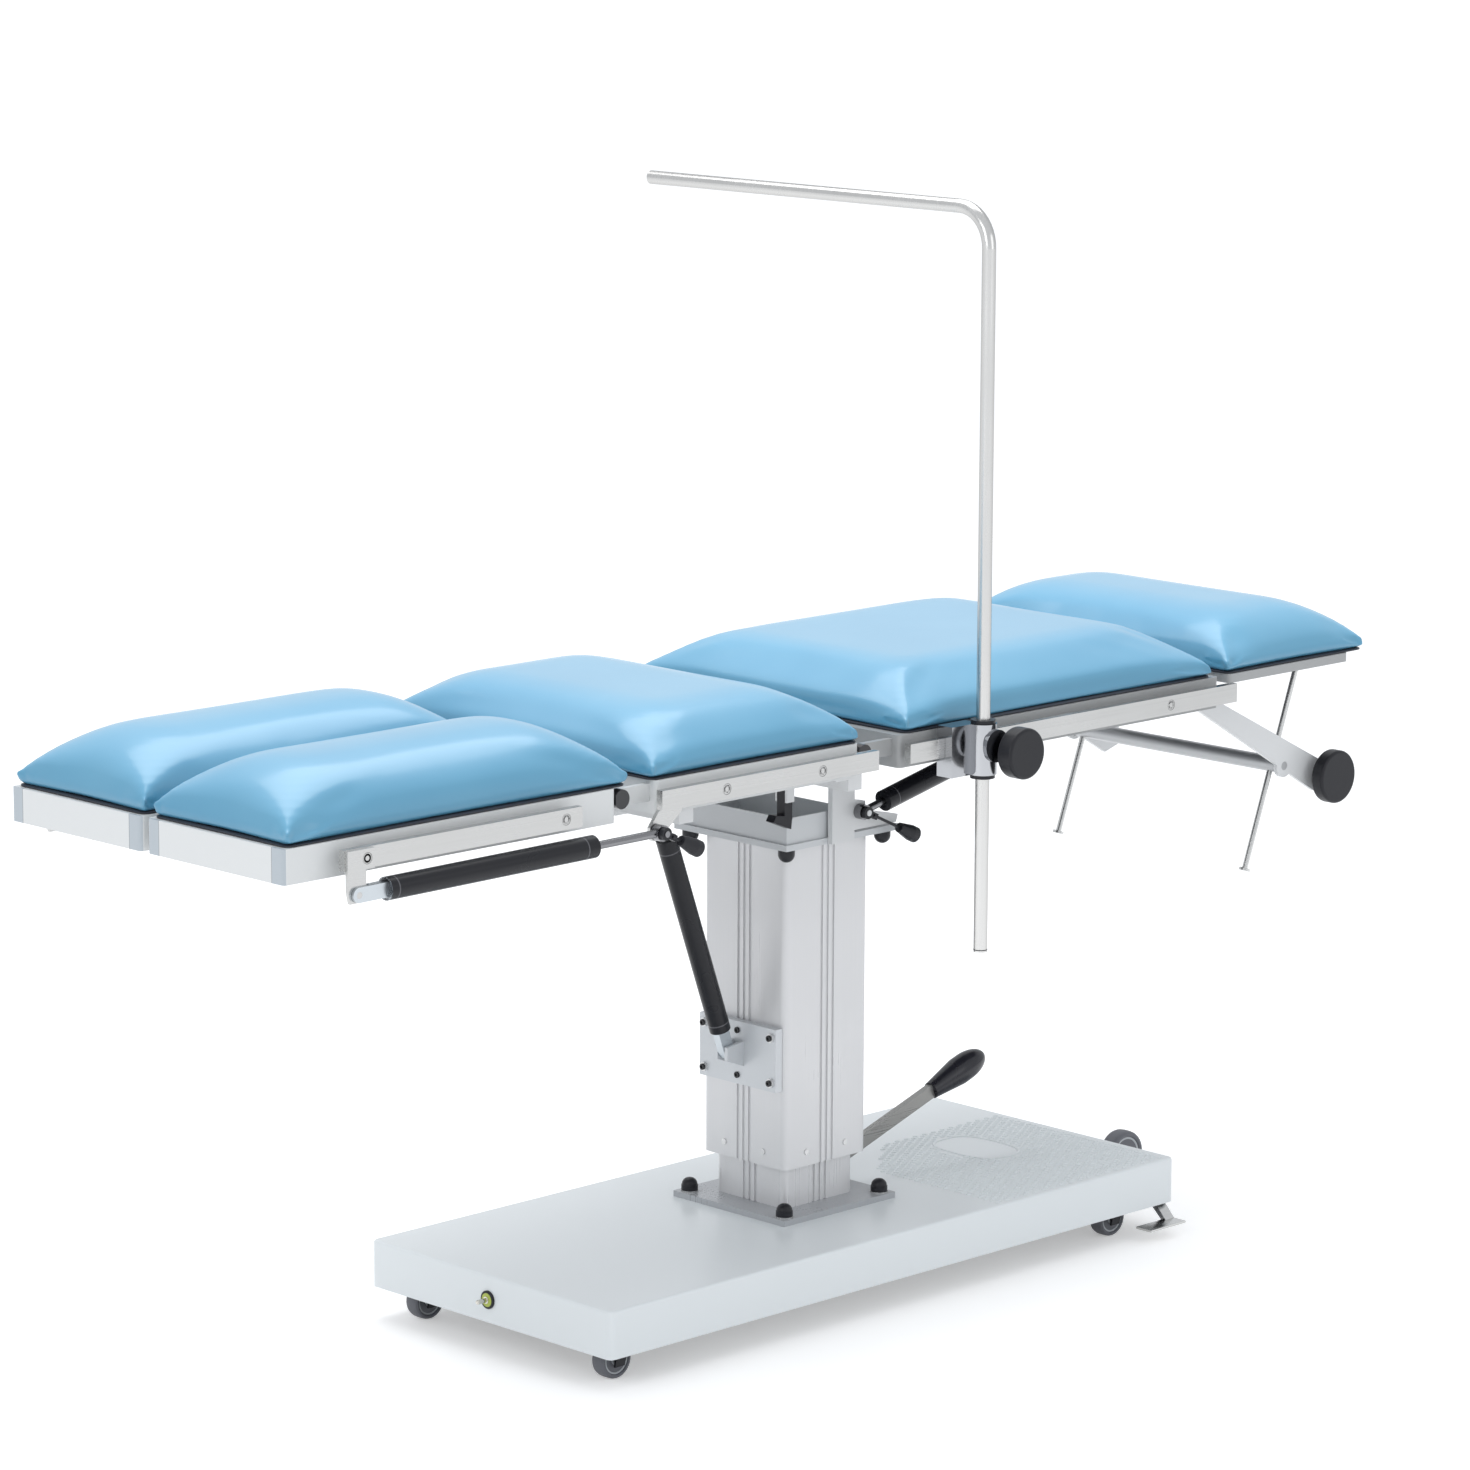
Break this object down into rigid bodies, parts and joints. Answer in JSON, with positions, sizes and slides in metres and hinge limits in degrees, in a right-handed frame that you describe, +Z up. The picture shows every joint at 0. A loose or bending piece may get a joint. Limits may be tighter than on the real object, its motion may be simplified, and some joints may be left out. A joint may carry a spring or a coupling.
{
  "type": "operating table",
  "caption": "Sectioned operating table with split leg plates, seat, back and head sections on a hydraulic lift column and castored base, with a screen frame",
  "frame": {"origin": "on the floor, under the middle of the column", "axes": "+X towards the head end, +Y to the side away from the screen, +Z up"},
  "size_m": [1.95, 0.6613, 1.436],
  "materials": {
    "base_cover": "pale blue-grey powder coat",
    "base_chassis": "dark paint",
    "column_fixed_tube": "satin anodised",
    "column_nut_caps": "matt black",
    "hydraulic_unit": "ground",
    "bonding_pin": "ground",
    "pump_lever": "ground",
    "pump_grip": "matt black",
    "brake_pedal": "ground",
    "transport_wheel": "grey-black tyre",
    "column_moving_tube": "satin anodised",
    "column_top_plate": "pale grey powder coat",
    "column_top_caps": "matt black",
    "anchor_plate": "pale grey powder coat",
    "column_screws": "ground",
    "guide_pads": "natural",
    "lift_ram": "ground",
    "seat_frame": "pale grey anodised",
    "seat_rails": "brushed stainless",
    "seat_cushion": "light blue vinyl over foam",
    "seat_brackets": "pale grey powder coat",
    "tilt_lever": "matt black",
    "back_frame": "pale grey anodised",
    "back_rails": "brushed stainless",
    "back_cushion": "light blue vinyl over foam",
    "head_arms": "pale grey powder coat",
    "head_frame": "pale grey anodised",
    "head_cushion": "light blue vinyl over foam",
    "head_rods": "ground",
    "head_tube": "ground",
    "head_knob": "matt black",
    "tilt_cylinder": "satin black",
    "tilt_rod": "polished rod",
    "back_rod": "polished rod",
    "back_cylinder": "satin black",
    "back_lever": "matt black",
    "clamp_body": "bright",
    "clamp_knob": "matt black",
    "clamp_sleeve": "matt black",
    "screen_frame": "brushed stainless",
    "leg_near_frame": "pale grey anodised",
    "leg_near_rail": "brushed stainless",
    "leg_near_cushion": "light blue vinyl over foam",
    "leg_near_cylinder": "satin black",
    "leg_near_rod": "polished rod",
    "leg_near_lever": "matt black",
    "leg_far_frame": "pale grey anodised",
    "leg_far_rail": "brushed stainless",
    "leg_far_cushion": "light blue vinyl over foam",
    "leg_far_cylinder": "satin black",
    "leg_far_rod": "polished rod",
    "leg_far_lever": "matt black",
    "caster_foot_near_fork": "black",
    "caster_foot_near_wheel": "grey-black tyre",
    "caster_foot_far_fork": "black",
    "caster_foot_far_wheel": "grey-black tyre",
    "caster_head_near_fork": "black",
    "caster_head_near_wheel": "grey-black tyre",
    "caster_head_far_fork": "black",
    "caster_head_far_wheel": "grey-black tyre"
  },
  "bodies": {
    "base": {"base_cover": "base_cover", "base_chassis": "base_chassis", "column_fixed_tube": "column_fixed_tube", "column_nut_caps": "column_nut_caps", "hydraulic_unit": "hydraulic_unit", "bonding_pin": "bonding_pin"},
    "pump": {"pump_lever": "pump_lever", "pump_grip": "pump_grip"},
    "brake": {"brake_pedal": "brake_pedal"},
    "transport": {"transport_wheel": "transport_wheel"},
    "column": {"column_moving_tube": "column_moving_tube", "column_top_plate": "column_top_plate", "column_top_caps": "column_top_caps", "anchor_plate": "anchor_plate", "column_screws": "column_screws", "guide_pads": "guide_pads", "lift_ram": "lift_ram"},
    "seat": {"seat_frame": "seat_frame", "seat_rails": "seat_rails", "seat_cushion": "seat_cushion", "seat_brackets": "seat_brackets"},
    "tilt_handle": {"tilt_lever": "tilt_lever"},
    "back": {"back_frame": "back_frame", "back_rails": "back_rails", "back_cushion": "back_cushion", "head_arms": "head_arms"},
    "head": {"head_frame": "head_frame", "head_cushion": "head_cushion"},
    "guides": {"head_rods": "head_rods"},
    "cross_tube": {"head_tube": "head_tube"},
    "head_clamp": {"head_knob": "head_knob"},
    "tilt_spring_tube": {"tilt_cylinder": "tilt_cylinder"},
    "tilt_spring_rod": {"tilt_rod": "tilt_rod"},
    "back_spring_rod": {"back_rod": "back_rod"},
    "back_spring_tube": {"back_cylinder": "back_cylinder"},
    "back_handle": {"back_lever": "back_lever"},
    "rail_clamp": {"clamp_body": "clamp_body"},
    "clamp_screw": {"clamp_knob": "clamp_knob"},
    "sleeve": {"clamp_sleeve": "clamp_sleeve"},
    "screen": {"screen_frame": "screen_frame"},
    "leg_near": {"leg_near_frame": "leg_near_frame", "leg_near_rail": "leg_near_rail", "leg_near_cushion": "leg_near_cushion"},
    "leg_near_spring_tube": {"leg_near_cylinder": "leg_near_cylinder"},
    "leg_near_spring_rod": {"leg_near_rod": "leg_near_rod"},
    "leg_near_handle": {"leg_near_lever": "leg_near_lever"},
    "leg_far": {"leg_far_frame": "leg_far_frame", "leg_far_rail": "leg_far_rail", "leg_far_cushion": "leg_far_cushion"},
    "leg_far_spring_tube": {"leg_far_cylinder": "leg_far_cylinder"},
    "leg_far_spring_rod": {"leg_far_rod": "leg_far_rod"},
    "leg_far_handle": {"leg_far_lever": "leg_far_lever"},
    "foot_near_fork": {"caster_foot_near_fork": "caster_foot_near_fork"},
    "foot_near_wheel": {"caster_foot_near_wheel": "caster_foot_near_wheel"},
    "foot_far_fork": {"caster_foot_far_fork": "caster_foot_far_fork"},
    "foot_far_wheel": {"caster_foot_far_wheel": "caster_foot_far_wheel"},
    "head_near_fork": {"caster_head_near_fork": "caster_head_near_fork"},
    "head_near_wheel": {"caster_head_near_wheel": "caster_head_near_wheel"},
    "head_far_fork": {"caster_head_far_fork": "caster_head_far_fork"},
    "head_far_wheel": {"caster_head_far_wheel": "caster_head_far_wheel"}
  },
  "joints": [
    {"name": "column_lift", "type": "slide", "parent": "base", "child": "column", "axis": [0, 0, 1], "range_m": [-0.04, 0.24]},
    {"name": "table_tilt", "type": "hinge", "parent": "column", "child": "seat", "pos_m": [-0.008, 0, 0.63], "axis": [0, -1, 0], "range_deg": [-10, 10]},
    {"name": "back_fold", "type": "hinge", "parent": "seat", "child": "back", "pos_m": [-0.1165, 0, 0.752], "axis": [0, -1, 0], "range_deg": [0, 45]},
    {"name": "head_fold", "type": "hinge", "parent": "back", "child": "head", "pos_m": [0.575, 0, 0.761], "axis": [0, -1, 0], "range_deg": [-22, 30]},
    {"name": "leg_near_fold", "type": "hinge", "parent": "seat", "child": "leg_near", "pos_m": [-0.534, 0, 0.752], "axis": [0, -1, 0], "range_deg": [0, 65]},
    {"name": "leg_near_spring_turn", "type": "hinge", "parent": "leg_near", "child": "leg_near_spring_tube", "pos_m": [-0.976, -0.2796, 0.7065], "axis": [0, -1, 0], "range_deg": [-4, 1]},
    {"name": "leg_near_spring_slide", "type": "slide", "parent": "leg_near_spring_tube", "child": "leg_near_spring_rod", "axis": [1, 0, 0.0062], "range_m": [-0.062, 0.001]},
    {"name": "leg_near_release", "type": "hinge", "parent": "leg_near_spring_rod", "child": "leg_near_handle", "pos_m": [-0.4955, -0.2889, 0.7095], "axis": [0, -1, 0], "range_deg": [0, 10], "stiffness_Nm_per_rad": 1},
    {"name": "leg_far_fold", "type": "hinge", "parent": "seat", "child": "leg_far", "pos_m": [-0.534, 0, 0.752], "axis": [0, -1, 0], "range_deg": [0, 65]},
    {"name": "leg_far_spring_turn", "type": "hinge", "parent": "leg_far", "child": "leg_far_spring_tube", "pos_m": [-0.976, 0.2796, 0.7065], "axis": [0, -1, 0], "range_deg": [-4, 1]},
    {"name": "leg_far_spring_slide", "type": "slide", "parent": "leg_far_spring_tube", "child": "leg_far_spring_rod", "axis": [1, 0, 0.0062], "range_m": [-0.062, 0.001]},
    {"name": "leg_far_release", "type": "hinge", "parent": "leg_far_spring_rod", "child": "leg_far_handle", "pos_m": [-0.4955, 0.2889, 0.7095], "axis": [0, -1, 0], "range_deg": [0, 10], "stiffness_Nm_per_rad": 1},
    {"name": "tilt_spring_turn", "type": "hinge", "parent": "column", "child": "tilt_spring_tube", "pos_m": [-0.108, 0, 0.32], "axis": [0, -1, 0], "range_deg": [-4, 4]},
    {"name": "tilt_spring_slide", "type": "slide", "parent": "tilt_spring_tube", "child": "tilt_spring_rod", "axis": [-0.3435, 0, 0.9391], "range_m": [-0.036, 0.036]},
    {"name": "tilt_release", "type": "hinge", "parent": "seat", "child": "tilt_handle", "pos_m": [-0.111, -0.1074, 0.676], "axis": [0, 1, 0], "range_deg": [0, 12], "stiffness_Nm_per_rad": 1},
    {"name": "back_spring_turn", "type": "hinge", "parent": "seat", "child": "back_spring_rod", "pos_m": [0.02, -0.1183, 0.6387], "axis": [0, -1, 0], "range_deg": [-1, 52]},
    {"name": "back_spring_slide", "type": "slide", "parent": "back_spring_rod", "child": "back_spring_tube", "axis": [0.9756, 0, 0.2194], "range_m": [-0.001, 0.131]},
    {"name": "back_release", "type": "hinge", "parent": "back_spring_rod", "child": "back_handle", "pos_m": [0.02, -0.1276, 0.6387], "axis": [0, -1, 0], "range_deg": [0, 10], "stiffness_Nm_per_rad": 1},
    {"name": "guide_turn", "type": "hinge", "parent": "head", "child": "guides", "pos_m": [0.826, 0, 0.746], "axis": [0, -1, 0], "range_deg": [-15.5, 11.5]},
    {"name": "cross_tube_turn", "type": "hinge", "parent": "back", "child": "cross_tube", "pos_m": [0.77481, 0, 0.60835], "axis": [0, -1, 0], "range_deg": [-11.5, 15.5]},
    {"name": "head_clamp_turn", "type": "hinge", "parent": "back", "child": "head_clamp", "pos_m": [0.852, -0.22, 0.587], "axis": [0, 1, 0], "range_deg": [-90, 90]},
    {"name": "clamp_along_rail", "type": "slide", "parent": "back", "child": "rail_clamp", "axis": [1, 0, 0], "range_m": [-0.04, 0.35]},
    {"name": "clamp_screw_turn", "type": "hinge", "parent": "rail_clamp", "child": "clamp_screw", "pos_m": [0.088, -0.32, 0.737], "axis": [0, 1, 0], "range_deg": [-90, 90]},
    {"name": "screen_swivel", "type": "hinge", "parent": "rail_clamp", "child": "sleeve", "pos_m": [0.058, -0.2936, 0.737], "axis": [0, 0, 1], "continuous": true},
    {"name": "screen_height", "type": "slide", "parent": "sleeve", "child": "screen", "axis": [0, 0, 1], "range_m": [-0.15, 0.2]},
    {"name": "pump_stroke", "type": "hinge", "parent": "base", "child": "pump", "pos_m": [0.0996, 0, 0.138], "axis": [0, 1, 0], "range_deg": [0, 18], "stiffness_Nm_per_rad": 30, "springref_deg": -8.59},
    {"name": "brake_press", "type": "hinge", "parent": "base", "child": "brake", "pos_m": [0.507, -0.19, 0.06], "axis": [1, 0, 0], "range_deg": [0, 7], "stiffness_Nm_per_rad": 15, "springref_deg": -5.73},
    {"name": "transport_roll", "type": "hinge", "parent": "base", "child": "transport", "pos_m": [0.672, 0, 0.036], "axis": [0, 1, 0], "continuous": true},
    {"name": "caster_foot_near_swivel", "type": "hinge", "parent": "base", "child": "foot_near_fork", "pos_m": [-0.462, -0.175, 0.06], "axis": [0, 0, 1], "continuous": true},
    {"name": "caster_foot_near_roll", "type": "hinge", "parent": "foot_near_fork", "child": "foot_near_wheel", "pos_m": [-0.478, -0.175, 0.025], "axis": [0, 1, 0], "continuous": true},
    {"name": "caster_foot_far_swivel", "type": "hinge", "parent": "base", "child": "foot_far_fork", "pos_m": [-0.462, 0.175, 0.06], "axis": [0, 0, 1], "continuous": true},
    {"name": "caster_foot_far_roll", "type": "hinge", "parent": "foot_far_fork", "child": "foot_far_wheel", "pos_m": [-0.478, 0.175, 0.025], "axis": [0, 1, 0], "continuous": true},
    {"name": "caster_head_near_swivel", "type": "hinge", "parent": "base", "child": "head_near_fork", "pos_m": [0.462, -0.175, 0.06], "axis": [0, 0, 1], "continuous": true},
    {"name": "caster_head_near_roll", "type": "hinge", "parent": "head_near_fork", "child": "head_near_wheel", "pos_m": [0.446, -0.175, 0.025], "axis": [0, 1, 0], "continuous": true},
    {"name": "caster_head_far_swivel", "type": "hinge", "parent": "base", "child": "head_far_fork", "pos_m": [0.462, 0.175, 0.06], "axis": [0, 0, 1], "continuous": true},
    {"name": "caster_head_far_roll", "type": "hinge", "parent": "head_far_fork", "child": "head_far_wheel", "pos_m": [0.446, 0.175, 0.025], "axis": [0, 1, 0], "continuous": true}
  ],
  "couplings": [
    {"joint": "leg_near_spring_turn", "follows": "leg_near_fold", "ratio": -0.0377},
    {"joint": "leg_near_spring_slide", "follows": "leg_near_fold", "m_per_rad": -0.05239},
    {"joint": "leg_far_spring_turn", "follows": "leg_far_fold", "ratio": -0.0377},
    {"joint": "leg_far_spring_slide", "follows": "leg_far_fold", "m_per_rad": -0.05239},
    {"joint": "tilt_spring_turn", "follows": "table_tilt", "ratio": 0.3646},
    {"joint": "tilt_spring_slide", "follows": "table_tilt", "m_per_rad": -0.2002},
    {"joint": "back_spring_turn", "follows": "back_fold", "ratio": 1.1352},
    {"joint": "back_spring_slide", "follows": "back_fold", "m_per_rad": 0.16513},
    {"joint": "guide_turn", "follows": "head_fold", "ratio": -0.5},
    {"joint": "cross_tube_turn", "follows": "head_fold", "ratio": 0.5}
  ]
}
